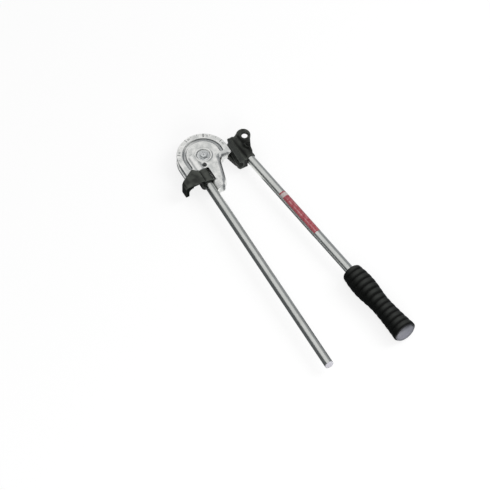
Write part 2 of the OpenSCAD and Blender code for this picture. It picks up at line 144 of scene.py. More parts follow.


# cast iron under black enamel: near black, faintly green, painted grey highlight on upward crests, painted
# shade in valleys
def makeBlackEnamel(name, glossy, dull):
    material, tree = newMaterial(name)
    place = addNode(tree, "ShaderNodeTexCoord").outputs["Object"]
    patch = addNode(tree, "ShaderNodeTexNoise", {"Vector": place, "Scale": perMm(9), "Detail": 4.0})
    grain = addNode(tree, "ShaderNodeTexNoise", {"Vector": place, "Scale": perMm(1.3), "Detail": 3.0})
    base = cloudyColour(tree, patch, "#080908", "#171a17", 0.35, 0.65)
    crestHighlight = addNode(tree, "ShaderNodeAttribute", attribute_name="crestHighlight")
    uneven = addNode(tree, "ShaderNodeMapRange", {0: patch.outputs[0], 1: 0.38, 2: 0.62, 3: 0.5, 4: 1.15})
    bloom = addNode(tree, "ShaderNodeMath", {
        0: crestHighlight.outputs["Fac"], 1: uneven.outputs[0]}, operation="MULTIPLY")
    highlighted = addNode(tree, "ShaderNodeMix", {
        0: bloom.outputs[0], 6: base.outputs[2], 7: "#555853"}, data_type="RGBA")
    deep = markedColour(tree, "valleyShade", highlighted, "#020302")
    edge = addNode(tree, "ShaderNodeAttribute", attribute_name="edge")
    rubbed = addNode(tree, "ShaderNodeMath", {
        0: edge.outputs["Fac"], 1: patch.outputs[0]}, operation="MULTIPLY")
    worn = addNode(tree, "ShaderNodeMix", {
        0: rubbed.outputs[0], 6: deep.outputs[2], 7: "#585c57"}, data_type="RGBA")
    rough = addNode(tree, "ShaderNodeMapRange", {0: patch.outputs[0], 1: 0.38, 2: 0.62, 3: glossy, 4: dull})
    bump = addNode(tree, "ShaderNodeBump", {
        "Height": grain.outputs[0], "Strength": 0.4, "Distance": 0.2 * mm})
    shader = addNode(tree, "ShaderNodeBsdfPrincipled", {
        "Base Color": worn.outputs[2], "Roughness": rough.outputs[0], "Specular IOR Level": 0.15,
        "Normal": bump.outputs[0]})
    return closeMaterial(material, shader)


# phosphated steel: dull green-black, rubbed brighter along the lips where the work slides
def makePhosphatedSteel():
    material, tree = newMaterial("steelPhosphated")
    place = addNode(tree, "ShaderNodeTexCoord").outputs["Object"]
    bloom = addNode(tree, "ShaderNodeTexNoise", {"Vector": place, "Scale": perMm(4), "Detail": 5.0})
    base = cloudyColour(tree, bloom, "#272a28", "#3a3d39", 0.35, 0.65)
    worn = markedColour(tree, "edge", base, "#666c66")
    rough = addNode(tree, "ShaderNodeMapRange", {0: bloom.outputs[0], 1: 0.3, 2: 0.7, 3: 0.4, 4: 0.55})
    bump = addNode(tree, "ShaderNodeBump", {
        "Height": bloom.outputs[0], "Strength": 0.2, "Distance": 0.1 * mm})
    shader = addNode(tree, "ShaderNodeBsdfPrincipled", {
        "Base Color": worn.outputs[2], "Metallic": 0.3, "Roughness": rough.outputs[0],
        "Normal": bump.outputs[0]})
    return closeMaterial(material, shader)


# drawn steel tube, bright plated: mirror-like with fine draw lines along it and a faint haze
def makePlatedTube():
    material, tree = newMaterial("drawnSteelBrightPlated")
    wrap = addNode(tree, "ShaderNodeUVMap", uv_map="wrap").outputs[0]
    stretch = addNode(tree, "ShaderNodeMapping", {"Vector": wrap, "Scale": (1.0, 0.012, 1.0)})
    lines = addNode(tree, "ShaderNodeTexNoise", {  # finer in truth, drawn coarse enough to show
        "Vector": stretch.outputs[0], "Scale": perMm(0.9), "Detail": 3.0})
    haze = addNode(tree, "ShaderNodeTexNoise", {"Vector": wrap, "Scale": perMm(25), "Detail": 4.0})
    base = cloudyColour(tree, haze, "#d3d5d1", "#e2e4e1", 0.3, 0.7)
    rough = addNode(tree, "ShaderNodeMapRange", {0: lines.outputs[0], 1: 0.3, 2: 0.7, 3: 0.22, 4: 0.32})
    bump = addNode(tree, "ShaderNodeBump", {
        "Height": lines.outputs[0], "Strength": 0.04, "Distance": 0.05 * mm})
    shader = addNode(tree, "ShaderNodeBsdfPrincipled", {
        "Base Color": base.outputs[2], "Metallic": 1.0, "Roughness": rough.outputs[0],
        "Normal": bump.outputs[0]})
    return closeMaterial(material, shader)


# small turned or pressed metal parts: one recipe, stained in patches, for several finishes
def makeTurnedMetal(name, dark, light, rough, metallic):
    material, tree = newMaterial(name)
    place = addNode(tree, "ShaderNodeTexCoord").outputs["Object"]
    stain = addNode(tree, "ShaderNodeTexNoise", {"Vector": place, "Scale": perMm(2.5), "Detail": 5.0})
    base = cloudyColour(tree, stain, dark, light, 0.3, 0.7)
    gloss = addNode(tree, "ShaderNodeMapRange", {
        0: stain.outputs[0], 1: 0.3, 2: 0.7, 3: rough, 4: rough + 0.14})
    shader = addNode(tree, "ShaderNodeBsdfPrincipled", {
        "Base Color": base.outputs[2], "Metallic": metallic, "Roughness": gloss.outputs[0]})
    return closeMaterial(material, shader)


# moulded rubber: deep black, its rib crowns given a dull grey painted highlight where they face up
def makeGripRubber():
    material, tree = newMaterial("rubberMouldedBlack")
    place = addNode(tree, "ShaderNodeTexCoord").outputs["Object"]
    dust = addNode(tree, "ShaderNodeTexNoise", {"Vector": place, "Scale": perMm(12), "Detail": 6.0})
    skin = addNode(tree, "ShaderNodeTexNoise", {"Vector": place, "Scale": perMm(0.9), "Detail": 2.0})
    highlighted = markedColour(tree, "crown", cloudyColour(tree, dust, "#040504", "#0d0f0d"), "#3a3c3a")
    crown = addNode(tree, "ShaderNodeAttribute", attribute_name="crown")
    rubbed = addNode(tree, "ShaderNodeMath", {
        0: dust.outputs[0], 1: 0.12, 2: crown.outputs["Fac"]}, operation="MULTIPLY_ADD")
    rough = addNode(tree, "ShaderNodeMapRange", {0: rubbed.outputs[0], 3: 0.5, 4: 0.3})
    bump = addNode(tree, "ShaderNodeBump", {
        "Height": skin.outputs[0], "Strength": 0.3, "Distance": 0.1 * mm})
    shader = addNode(tree, "ShaderNodeBsdfPrincipled", {
        "Base Color": highlighted.outputs[2], "Roughness": rough.outputs[0], "Specular IOR Level": 0.12,
        "Normal": bump.outputs[0]})
    return closeMaterial(material, shader)


# moulded plastic: even colour with a faint mould texture and a satin skin, dark where a painted shade is
# marked
def makeMouldedPlastic(name, dark, light):
    material, tree = newMaterial(name)
    place = addNode(tree, "ShaderNodeTexCoord").outputs["Object"]
    cloud = addNode(tree, "ShaderNodeTexNoise", {"Vector": place, "Scale": perMm(6), "Detail": 4.0})
    pit = addNode(tree, "ShaderNodeTexNoise", {"Vector": place, "Scale": perMm(0.8), "Detail": 2.0})
    shadedColour = markedColour(tree, "paintedShade", cloudyColour(tree, cloud, dark, light), "#1b1c20")
    bump = addNode(tree, "ShaderNodeBump", {
        "Height": pit.outputs[0], "Strength": 0.2, "Distance": 0.08 * mm})
    rough = addNode(tree, "ShaderNodeMapRange", {0: cloud.outputs[0], 1: 0.3, 2: 0.7, 3: 0.38, 4: 0.52})
    shader = addNode(tree, "ShaderNodeBsdfPrincipled", {
        "Base Color": shadedColour.outputs[2], "Roughness": rough.outputs[0], "Normal": bump.outputs[0]})
    return closeMaterial(material, shader)


# clear vinyl film with a printed red panel: dull red on the bright tube, faded, one end left pale
film = {  # in mm on the wrap: panel and stripes lie round the tube, the pale end lies down it
    "panel": (5.4, 15.2),
    "panelSoft": 1.3,
    "stripes": ((7.4, 8.0), (11.4, 12.3)),
    "pale": (114.5, 120.5),
    "soft": 0.3,
}


def makeRedFilm():
    material, tree = newMaterial("vinylFilmPrintedRed")
    wrap = addNode(tree, "ShaderNodeUVMap", uv_map="wrap").outputs[0]
    split = addNode(tree, "ShaderNodeSeparateXYZ", {0: wrap})

    def between(axis, limits, soft=film["soft"]):  # 1 inside the limits, in mm, with a soft border
        middle = sum(limits) / 2 * mm
        half = (limits[1] - limits[0]) / 2 * mm
        away = addNode(tree, "ShaderNodeMath", {0: split.outputs[axis], 1: middle}, operation="SUBTRACT")
        away = addNode(tree, "ShaderNodeMath", {0: away.outputs[0]}, operation="ABSOLUTE")
        return addNode(tree, "ShaderNodeMapRange", {
            0: away.outputs[0], 1: half, 2: half + soft * mm, 3: 1.0, 4: 0.0}).outputs[0]

    fade = addNode(tree, "ShaderNodeTexNoise", {"Vector": wrap, "Scale": perMm(5), "Detail": 5.0})
    tone = addNode(tree, "ShaderNodeMapRange", {0: fade.outputs[0], 1: 0.35, 2: 0.65})
    red = addNode(tree, "ShaderNodeMix", {
        0: tone.outputs[0], 6: "#a8404b", 7: "#c26870"}, data_type="RGBA")
    first, second = [between(0, limits) for limits in film["stripes"]]
    rubbed = addNode(tree, "ShaderNodeMath", {0: first, 1: second}, operation="MAXIMUM")
    worn = addNode(tree, "ShaderNodeMath", {0: rubbed.outputs[0], 1: tone.outputs[0]}, operation="MULTIPLY")
    faded = addNode(tree, "ShaderNodeMix", {
        0: worn.outputs[0], 6: red.outputs[2], 7: "#d3a6a6"}, data_type="RGBA")
    ink = addNode(tree, "ShaderNodeMix", {
        0: between(1, film["pale"]), 6: faded.outputs[2], 7: "#ddcfcc"}, data_type="RGBA")
    printed = between(0, film["panel"], film["panelSoft"])
    colour = addNode(tree, "ShaderNodeMix", {0: printed, 6: "#cfd1cd", 7: ink.outputs[2]}, data_type="RGBA")
    metal = addNode(tree, "ShaderNodeMath", {0: 1.0, 1: printed}, operation="SUBTRACT")
    gloss = addNode(tree, "ShaderNodeMapRange", {0: printed, 3: 0.25, 4: 0.4})
    shader = addNode(tree, "ShaderNodeBsdfPrincipled", {
        "Base Color": colour.outputs[2], "Metallic": metal.outputs[0], "Roughness": gloss.outputs[0]})
    return closeMaterial(material, shader)


# paint rubbed into the graduations: flat, worn thin in places
def makeMarkPaint(name, dark, light):
    material, tree = newMaterial(name)
    place = addNode(tree, "ShaderNodeTexCoord").outputs["Object"]
    patch = addNode(tree, "ShaderNodeTexNoise", {"Vector": place, "Scale": perMm(1.5), "Detail": 3.0})
    base = cloudyColour(tree, patch, dark, light)
    shader = addNode(tree, "ShaderNodeBsdfPrincipled", {"Base Color": base.outputs[2], "Roughness": 0.7})
    return closeMaterial(material, shader)


castAluminium = makeCastAluminium()
latchEnamel = makeBlackEnamel("castIronBlackEnamel", 0.28, 0.46)  # handled often, so smoother
headEnamel = makeBlackEnamel("castIronBlackEnamelWorn", 0.34, 0.66)
phosphatedSteel = makePhosphatedSteel()
platedTube = makePlatedTube()
blackScrew = makeTurnedMetal("steelBlackOxide", "#151718", "#282b2d", 0.36, 0.7)  # oily dark sheen
# painted key light: the lock screw's steel is a lighter copy of the black oxide
litScrew = makeTurnedMetal("steelBlackOxidePaintedLight", "#56595a", "#747778", 0.36, 0.9)  # grey from the key
springSteel = makeTurnedMetal("steelSpring", "#bcc0c0", "#d8dbdb", 0.3, 1.0)  # circlip, light grey
turnedSteel = makeTurnedMetal("steelTurned", "#d8dbdb", "#eff0f0", 0.28, 1.0)  # pin and washers, bright
bushBronze = makeTurnedMetal("bronzeSintered", "#8d6c3c", "#b8935a", 0.38, 1.0)  # warm and dull
gripRubber = makeGripRubber()
greyPlastic = makeMouldedPlastic("plasticMouldedGrey", "#8e8f98", "#a2a3ac")  # end cap, cool mid grey
palePlastic = makeMouldedPlastic("plasticMouldedPale", "#e9e7f1", "#f5f4fa")  # tube plug, lilac tint
redFilm = makeRedFilm()
markPaint = makeMarkPaint("paintFlatGrey", "#4a4e4f", "#85898a")  # scale, thin grey
notchPaint = makeMarkPaint("paintFlatBlack", "#1b1d1d", "#3d4040")  # one deep mark, nearly black
print("materials made")


def linkPiece(name, mesh, material, body, replaced=()):
    piece = bpy.data.objects.new(name, mesh)
    scene.collection.objects.link(piece)
    mesh.materials.clear()
    mesh.materials.append(material)
    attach(piece, body)
    if replaced:
        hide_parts(*replaced)
    return piece


def holderFor(data):
    holder = bpy.data.objects.new("holder", data)
    scene.collection.objects.link(holder)
    return holder


def plainMesh(holder):  # what the modifiers give, as a mesh of its own
    view = bpy.context.evaluated_depsgraph_get()
    view.update()
    mesh = bpy.data.meshes.new_from_object(holder.evaluated_get(view))
    bpy.data.objects.remove(holder)
    return mesh


def modified(mesh, kind, **settings):  # a mesh as one modifier leaves it
    holder = holderFor(mesh)
    modifier = holder.modifiers.new("finish", kind)
    for name, value in settings.items():
        setattr(modifier, name, value)
    return plainMesh(holder)


def meshFrom(bm, name):
    mesh = bpy.data.meshes.new(name)
    bm.to_mesh(mesh)
    bm.free()
    return mesh


def mergedMesh(nodeName, apart=0.001):  # a copy of a part's mesh, points nearer than this in mm made one
    bm = bmesh.new()
    bm.from_mesh(nodes[nodeName].data)
    bmesh.ops.remove_doubles(bm, verts=bm.verts, dist=apart * mm)
    mesh = meshFrom(bm, nodeName + "Copy")
    if "custom_normal" in mesh.attributes:
        mesh.attributes.remove(mesh.attributes["custom_normal"])
    return mesh


def sharpMesh(bm, name, limit=32):  # smooth shading that breaks at corners over so many degrees
    bm.normal_update()
    for face in bm.faces:
        face.smooth = True
    for edge in bm.edges:
        edge.smooth = len(edge.link_faces) == 2 and edge.calc_face_angle(0) < math.radians(limit)
    return meshFrom(bm, name)


def smoothMesh(mesh, limit=40):
    bm = bmesh.new()
    bm.from_mesh(mesh)
    return sharpMesh(bm, mesh.name, limit)


def latheMesh(name, profile, segments, place, closed=False):  # profile of (radius, along) in mm
    bm = bmesh.new()
    wrap = bm.loops.layers.uv.new("wrap")
    turns = [2 * math.pi * k / segments for k in range(segments)]
    rings = [
        [bm.verts.new((0, 0, z * mm))] if r == 0 else
        [bm.verts.new((r * mm * math.cos(t), r * mm * math.sin(t), z * mm)) for t in turns]
        for r, z in profile]
    widest = max(r for r, z in profile) * mm
    pairs = list(zip(rings, rings[1:])) + ([(rings[-1], rings[0])] if closed else [])
    for low, high in pairs:
        for k in range(segments):
            corners = {}
            for ring, step in ((low, 0), (low, 1), (high, 1), (high, 0)):
                corners.setdefault(ring[(k + step) % len(ring)], (k + step) / segments)
            face = bm.faces.new(list(corners))
            for loop in face.loops:
                loop[wrap].uv = (corners[loop.vert] * 2 * math.pi * widest, loop.vert.co.z)
    bmesh.ops.recalc_face_normals(bm, faces=bm.faces)
    mesh = sharpMesh(bm, name)
    mesh.transform(place)
    return mesh


smallBore = 48  # segments round it


def rodCutter(radius, length, place, segments=96, tip=None):  # a rod, or a cone where the tip differs
    bm = bmesh.new()
    bmesh.ops.create_cone(bm, cap_ends=True, segments=segments, radius1=radius * mm,
                          radius2=(radius if tip is None else tip) * mm, depth=length * mm)
    mesh = meshFrom(bm, "cutter")
    mesh.transform(place @ at(0, 0, length / 2))
    return mesh


def boxCutter(size, place):
    bm = bmesh.new()
    bmesh.ops.create_cube(bm, size=1)
    bmesh.ops.scale(bm, vec=Vector(size) * mm, verts=bm.verts)
    mesh = meshFrom(bm, "cutter")
    mesh.transform(place)
    return mesh


def cutAway(mesh, cutters):  # one clean cut after another
    for cutter in cutters:
        tool = holderFor(cutter)
        mesh = modified(mesh, "BOOLEAN", operation="DIFFERENCE", solver="MANIFOLD", object=tool)
        bpy.data.objects.remove(tool)
    return mesh


def softMesh(mesh, rounds):
    return modified(mesh, "SMOOTH", factor=0.5, iterations=rounds)


def castMesh(nodeName, voxel, rounds):  # the part's own shape with the soft corners of a casting
    skin = modified(mergedMesh(nodeName), "REMESH", mode="VOXEL", voxel_size=voxel * mm,
                    use_smooth_shade=True)
    return softMesh(skin, rounds)


def brokenCorners(mesh, width, flat=1, sharp=40):  # facets under flat degrees join, corners over sharp break
    flats = modified(mesh, "DECIMATE", decimate_type="DISSOLVE", angle_limit=math.radians(flat))
    broken = modified(flats, "BEVEL", width=width * mm, segments=2, limit_method="ANGLE",
                      angle_limit=math.radians(sharp))
    return smoothMesh(broken)


def standOut(mesh, reach):  # how far each point stands out from those around it, in mm, and the way it faces
    count = len(mesh.vertices)
    spot = np.empty(count * 3)
    mesh.vertices.foreach_get("co", spot)
    spot = spot.reshape(-1, 3)
    normal = np.empty(count * 3)
    mesh.vertex_normals.foreach_get("vector", normal)
    normal = normal.reshape(-1, 3)
    ends = np.empty(len(mesh.edges) * 2, np.int32)
    mesh.edges.foreach_get("vertices", ends)
    first, second = ends.reshape(-1, 2).T
    near = np.maximum(np.bincount(ends, minlength=count), 1)

    def around(values):
        there = np.bincount(first, values[second], count) + np.bincount(second, values[first], count)
        return there / near

    flat = spot
    for _ in range(reach):
        flat = np.stack([(flat[:, k] + around(flat[:, k])) / 2 for k in range(3)], 1)
    return ((spot - flat) * normal).sum(1) / mm, normal


def setShare(mesh, name, values):  # values from 0 to 1 at the points, for a material to read
    layer = mesh.attributes.new(name, "FLOAT", "POINT")
    layer.data.foreach_set("value", np.clip(values, 0, 1).astype(np.float32))


# edge marks the corners that stand out; paintedShade darkens the hollows as painted shade
def markCorners(mesh, reach, gain):
    stand, normal = standOut(mesh, reach)
    setShare(mesh, "edge", stand * gain)
    setShare(mesh, "paintedShade", -stand * gain)


def markCrests(mesh, reach, gain, lift):  # painted highlight on broad crests facing up, lift adds some to all; painted shade in valleys
    stand, normal = standOut(mesh, reach)
    setShare(mesh, "crestHighlight", (stand * gain + lift) * np.clip(normal[:, 2], 0, 1))
    setShare(mesh, "valleyShade", -stand * gain)


# former: soft casting with a round edge along the shank, then the bores as the drill leaves them
former = {"voxel": 0.62, "rounds": 6, "reach": 10, "gain": 2.4}
formerBores = {  # radius and length in mm, and where the drill starts
    "handleSocket": (6.4, 100, alongFixed(-5)),
    "washerSeat": (9.2, 20, at(0, 0, 24.5)),
    "bushSeat": (6.54, 40, upright),
    "lockScrew": (3.08, 30, at(-6.55, -15, 13), smallBore),
}
shankEdge = {
    "radius": 6.0,
    "from": -0.6, "to": 37.0,  # in x
    "below": -10.0,  # in y
    "fade": 6.0,  # at both ends
    "near": 1.2,  # in radii
    "blend": 3.0, "deep": 8.0, "step": 0.3, "offLevel": 0.01,
    "level": 0.99, "steep": 0.1,  # how far up a level face looks at least, and a steep one at most
}
notch = {  # the deep mark beside the scale
    "at": 62.6,  # degrees
    "from": 30.5, "to": 36.8, "cutTo": 40.0,  # radii
    "width": 1.3, "depth": 0.9, "fill": 0.3, "endGap": 0.1, "sideGap": 0.05, "corner": 0.08,
}
# painted shade in the channel and at the rib's foot, painted highlight along the rib's crest
formerPaintedLight = {
    "channel": (23.7, 28.8),  # from the pivot
    "channelHeight": (22.5, 25.3), "channelShade": 0.62,
    "unshadedAt": 113.0, "unshadedWide": 20.0,  # the painted shade fades out over one stretch
    "boss": 13.0, "bossShare": 0.3,
    "ribCrest": -2.6, "ribFoot": -5.4, "ribWide": 1.7,  # from the fixed handle's axis
    "ribEnds": (-21.0, 6.0), "ribFade": 2.0, "ribSkin": 0.2, "ribShade": 0.7,
}


def faceOutline(nodeName, level):  # points round a flat face's rim, each with the way inwards
    bm = bmesh.new()
    bm.from_mesh(mergedMesh(nodeName))
    bm.normal_update()
    points = []
    for edge in bm.edges:
        top, wall = sorted(edge.link_faces, key=lambda face: -face.normal.z)
        start, end = [corner.co for corner in edge.verts]
        offLevel = max(abs(start.z - level * mm), abs(end.z - level * mm))
        isSquare = top.normal.z >= shankEdge["level"] and abs(wall.normal.z) <= shankEdge["steep"]
        isBelow = wall.calc_center_median().z <= level * mm
        if offLevel < shankEdge["offLevel"] * mm and isSquare and isBelow:
            steps = max(2, int((end - start).length / (shankEdge["step"] * mm)))
            points += [(start.lerp(end, k / steps), -wall.normal) for k in range(steps + 1)]
    bm.free()
    return points


def edgeRadius(spot):  # full along the shank, fading out at both ends
    run = min(spot.x / mm - shankEdge["from"], shankEdge["to"] - spot.x / mm)
    return shankEdge["radius"] * mm * max(0, min(1, run / shankEdge["fade"]))


def roundEdges(mesh, points, level):  # bends the square corner along these points into an arc
    tree = KDTree(len(points))
    for k, (spot, inward) in enumerate(points):
        tree.insert((spot.x, spot.y, 0), k)
    tree.balance()
    blended = []
    for spot, inward in points:  # facets give way to one even turn
        around = tree.find_range((spot.x, spot.y, 0), shankEdge["blend"] * mm)
        blended.append(sum((points[k][1] for near, k, away in around), Vector()).normalized())
    moved = 0
    for vertex in mesh.vertices:
        drop = level * mm - vertex.co.z
        if drop > shankEdge["deep"] * mm:
            continue
        near, k, away = tree.find((vertex.co.x, vertex.co.y, 0))
        inward = blended[k]
        radius = edgeRadius(points[k][0])
        inset = (vertex.co - points[k][0]).dot(inward)
        if radius <= 0 or away > radius * shankEdge["near"] or inset > radius or drop > radius:
            continue
        run = radius - inset if inset > drop else radius + drop  # along the old corner, face to wall
        turn = max(0, min(1, run / (2 * radius))) * math.pi / 2
        vertex.co += inward * (radius * (1 - math.sin(turn)) - inset)
        vertex.co.z = level * mm - radius * (1 - math.cos(turn))
        moved += 1
    return moved


def drilled(mesh, bores):
    return cutAway(mesh, [rodCutter(*bore) for bore in bores.values()])


def bell(apart, wide):  # 1 in the middle, falling off softly to both sides
    return math.exp(-(apart / wide) ** 2)


formerMesh = castMesh("bend_former", former["voxel"], 0)
rim = [(spot, inward) for spot, inward in faceOutline("bend_former", layout["zFace"])
       if spot.y < shankEdge["below"] * mm and spot.x > shankEdge["from"] * mm]
print("former edge points:", len(rim), "moved:", roundEdges(formerMesh, rim, layout["zFace"]))
formerMesh = drilled(softMesh(formerMesh, former["rounds"]), formerBores)
notchLong = notch["cutTo"] - notch["from"]
notchPlace = turned(notch["at"], "Z") @ at(notch["from"] + notchLong / 2, 0, layout["zFace"])
notchCutter = boxCutter((notchLong, notch["width"], 2 * notch["depth"]), notchPlace)
formerMesh = smoothMesh(cutAway(formerMesh, [notchCutter]))
markCorners(formerMesh, former["reach"], former["gain"])
edges = formerMesh.attributes["edge"].data
paintedShades = formerMesh.attributes["paintedShade"].data
channelIn, channelOut = formerPaintedLight["channel"]
channelLow, channelHigh = formerPaintedLight["channelHeight"]
ribLow, ribHigh = formerPaintedLight["ribEnds"]
for vertex, edge, paintedShade in zip(formerMesh.vertices, edges, paintedShades):
    x, y, z = vertex.co / mm
    reachOut = math.hypot(x, y)
    across = reachOut if y > 0 or x > 0 else -x  # the channel turns, then runs straight down
    # painted shade down the channel, fading out over one stretch
    if channelIn < across < channelOut and channelLow < z < channelHigh:
        fromUnshaded = math.degrees(math.atan2(y, x)) % 360 - formerPaintedLight["unshadedAt"]
        paintedShade.value = formerPaintedLight["channelShade"] * (1 - bell(fromUnshaded, formerPaintedLight["unshadedWide"]))
    if reachOut < formerPaintedLight["boss"]:
        edge.value *= formerPaintedLight["bossShare"]
    if ribLow < y < ribHigh and z > layout["zFace"] - formerPaintedLight["ribSkin"]:  # painted highlight on the socket rib's crest, painted shadow at its foot
        beside = x + layout["fixedX"]
        ends = min(1, (y - ribLow) / formerPaintedLight["ribFade"], (ribHigh - y) / formerPaintedLight["ribFade"])
        edge.value = max(edge.value, ends * bell(beside - formerPaintedLight["ribCrest"], formerPaintedLight["ribWide"]))
        shaded = ends * bell(beside - formerPaintedLight["ribFoot"], formerPaintedLight["ribWide"])
        paintedShade.value = max(paintedShade.value, formerPaintedLight["ribShade"] * shaded)
linkPiece("bendFormer", formerMesh, castAluminium, "frame", ["bend_former"])
print("former made:", len(formerMesh.polygons), "faces")


# lever head and latch: softer castings under enamel
def enamelCasting(nodeName, sizes, bores):
    mesh = castMesh(nodeName, sizes["voxel"], sizes["rounds"])
    mesh = smoothMesh(drilled(mesh, bores))
    markCorners(mesh, sizes["reach"], sizes["gain"])
    markCrests(mesh, sizes["broadReach"], sizes["broadGain"], sizes["lift"])
    return mesh


leverHead = {
    "voxel": 0.5, "rounds": 6, "reach": 10, "gain": 3.0,
    "broadReach": 160, "broadGain": 1.0, "lift": 0.12,
    "eyeOut": 14.6, "eyeDown": 4.0,
    "screwAt": 20.0, "screwTilt": 45.0,
    "unlitBoss": 4.8,  # round the screw's axis
}
eyeOff = layout["leverOff"] + leverHead["eyeOut"]
eyePlace = turned(layout["splay"], "Z") @ at(eyeOff, -leverHead["eyeDown"], 0)
screwPlace = alongLever(leverHead["screwAt"]) @ turned(leverHead["screwTilt"], "Z") @ turned(90, "Y")
headBores = {
    "handleSocket": (6.4, 100, alongLever(13)),
    "hangingEye": (4.2, 60, eyePlace),
    "setScrew": (2.52, 30, screwPlace, smallBore),
    "pivotPin": (5.02, 40, at(0, 0, -1)),
    "pinHead": (8.2, 4, at(0, 0, -1)),
}
headMesh = enamelCasting("lever_head", leverHead, headBores)
fromScrew = screwPlace.inverted()
for vertex, crestHighlight in zip(headMesh.vertices, headMesh.attributes["crestHighlight"].data):
    if math.hypot(*(fromScrew @ vertex.co).xy) < leverHead["unlitBoss"] * mm:
        crestHighlight.value = 0  # no painted highlight on the screw's boss
linkPiece("leverHead", headMesh, headEnamel, "lever", ["lever_head"])
print("lever head made:", len(headMesh.polygons), "faces")

# a higher lift gives the latch's upward faces more painted highlight
latch = {
    "voxel": 0.45, "rounds": 6, "reach": 10, "gain": 3.0,
    "broadReach": 160, "broadGain": 1.0, "lift": 0.65,
}
latchBores = {"handle": (6.41, 100, alongFixed(0))}
latchMesh = enamelCasting("tube_latch", latch, latchBores)
linkPiece("tubeLatch", latchMesh, latchEnamel, "latch", ["tube_latch"])
print("latch made:", len(latchMesh.polygons), "faces")

shoe = {"voxel": 0.32, "rounds": 4, "reach": 8, "gain": 4.0}
shoeMesh = castMesh("forming_shoe", shoe["voxel"], shoe["rounds"])
markCorners(shoeMesh, shoe["reach"], shoe["gain"])
linkPiece("formingShoe", shoeMesh, phosphatedSteel, "lever", ["forming_shoe"])
print("shoe made:", len(shoeMesh.polygons), "faces")

# handle tubes: sawn square, the burr taken off inside and out
tube = {"bevel": 0.4, "roundShare": 0.3, "segments": 96}


def tubeMesh(name, start, end, place):
    outer = layout["tubeRadius"]
    inner = outer - layout["tubeWall"]
    bevel = tube["bevel"]
    turnIn = bevel * tube["roundShare"]  # middle of the rounded far edge
    profile = [
        (outer - bevel, start), (outer, start + bevel), (outer, end - bevel), (outer - turnIn, end - turnIn),
        (outer - bevel, end), (inner + bevel, end), (inner, end - bevel), (inner, start + bevel),
        (inner + bevel, start)]
    return latheMesh(name, profile, tube["segments"], place, closed=True)


fixedTube = tubeMesh("fixedTube", -layout["fixedIn"], layout["fixedEnd"], alongFixed(0))
linkPiece("fixedHandle", fixedTube, platedTube, "frame", ["fixed_handle"])
formingEnd = layout["leverEnd"] - layout["capRoom"]
formingTube = tubeMesh("formingTube", layout["leverStart"], formingEnd, alongLever(0))
linkPiece("formingHandle", formingTube, platedTube, "lever", ["forming_handle"])

plug = {
    "segments": 64,
    "profile": [  # radius, and how far past the tube's end: spigot, shoulder, domed head
        (0, -14), (4.0, -14), (4.33, -13), (4.33, 0.03),
        (6.2, 0.03), (6.35, 0.2), (6.3, 0.75), (6.0, 1.08), (5.5, 1.2), (0, 1.2)],
}
plugMesh = latheMesh("plug", plug["profile"], plug["segments"], alongFixed(layout["fixedEnd"]))
linkPiece("fixedHandlePlug", plugMesh, palePlastic, "frame", ["fixed_handle_plug"])

label = {"from": 112.0, "to": 194.0, "radius": 6.5, "edgeDrop": 0.02, "edgeRun": 0.1, "segments": 96}
labelEdge = label["radius"] - label["edgeDrop"]
labelProfile = [
    (layout["tubeRadius"], label["from"]), (labelEdge, label["from"]),
    (label["radius"], label["from"] + label["edgeRun"]), (label["radius"], label["to"] - label["edgeRun"]),
    (labelEdge, label["to"]), (layout["tubeRadius"], label["to"])]
labelMesh = latheMesh("label", labelProfile, label["segments"], alongLever(0), closed=True)
linkPiece("handleLabel", labelMesh, redFilm, "lever", ["handle_label"])

cap = {
    "segments": 96,
    "profile": [  # radius, and how far past the grip's end: spigot, flange, round rim, dish
        (0, -17), (3.9, -17), (4.33, -16.4), (4.33, -3),
        (15.3, -3), (15.4, -2.8), (15.4, 0.4), (15.1, 0.95), (14.6, 1.2), (14.0, 1.1), (13.5, 0.7),
        (12.9, -0.6), (12.2, -1.4), (11.2, -1.8), (0, -1.85)],
    "shadeFull": 8.4,  # this far above the middle
    "rimFrom": 13.4,
    "rimShade": 0.34,
}
capMesh = latheMesh("cap", cap["profile"], cap["segments"], upright)
spots = np.array([vertex.co for vertex in capMesh.vertices]) / mm
onRim = np.hypot(spots[:, 0], spots[:, 1]) > cap["rimFrom"]
upper = np.clip(spots[:, 1] / cap["shadeFull"], 0, 1)
setShare(capMesh, "paintedShade", upper + cap["rimShade"] * onRim)  # painted shadow over the upper half, as under the grip's lip, and the rim darker all round
capMesh.transform(alongLever(layout["leverEnd"]))
linkPiece("gripEndCap", capMesh, greyPlastic, "lever", ["grip_end_cap"])
print("tubes, plug, label and cap made")

# grip: a ribbed sleeve whose girth follows one rule along its length
grip = {
    "at": 272.0, "length": 125.0, "segments": 96,
    "ribs": 13, "stepsPerRib": 24, "ribDepth": 1.3,
    "ribPower": 4.5,  # wide ribs, narrow grooves
    "sideShare": 0.25,  # of the groove's depth that is left at the sides
    "sideFrom": 0.3, "sideTo": 0.65,
    "shoulder": 16.7, "waist": 13.7, "end": 17.4, "widest": 20.0,  # radii at the rib crowns
    "shoulderAt": 0.24, "waistAt": 0.56,  # shares of the length
    "noseDrop": 3.0, "flare": 1.6, "girthSteps": 24,
    "nose": 3.0, "lip": 1.0, "bore": 6.4,
    "seat": 15.45, "seatDepth": 3.0,  # where the cap sits
    "highlightPower": 5,
}


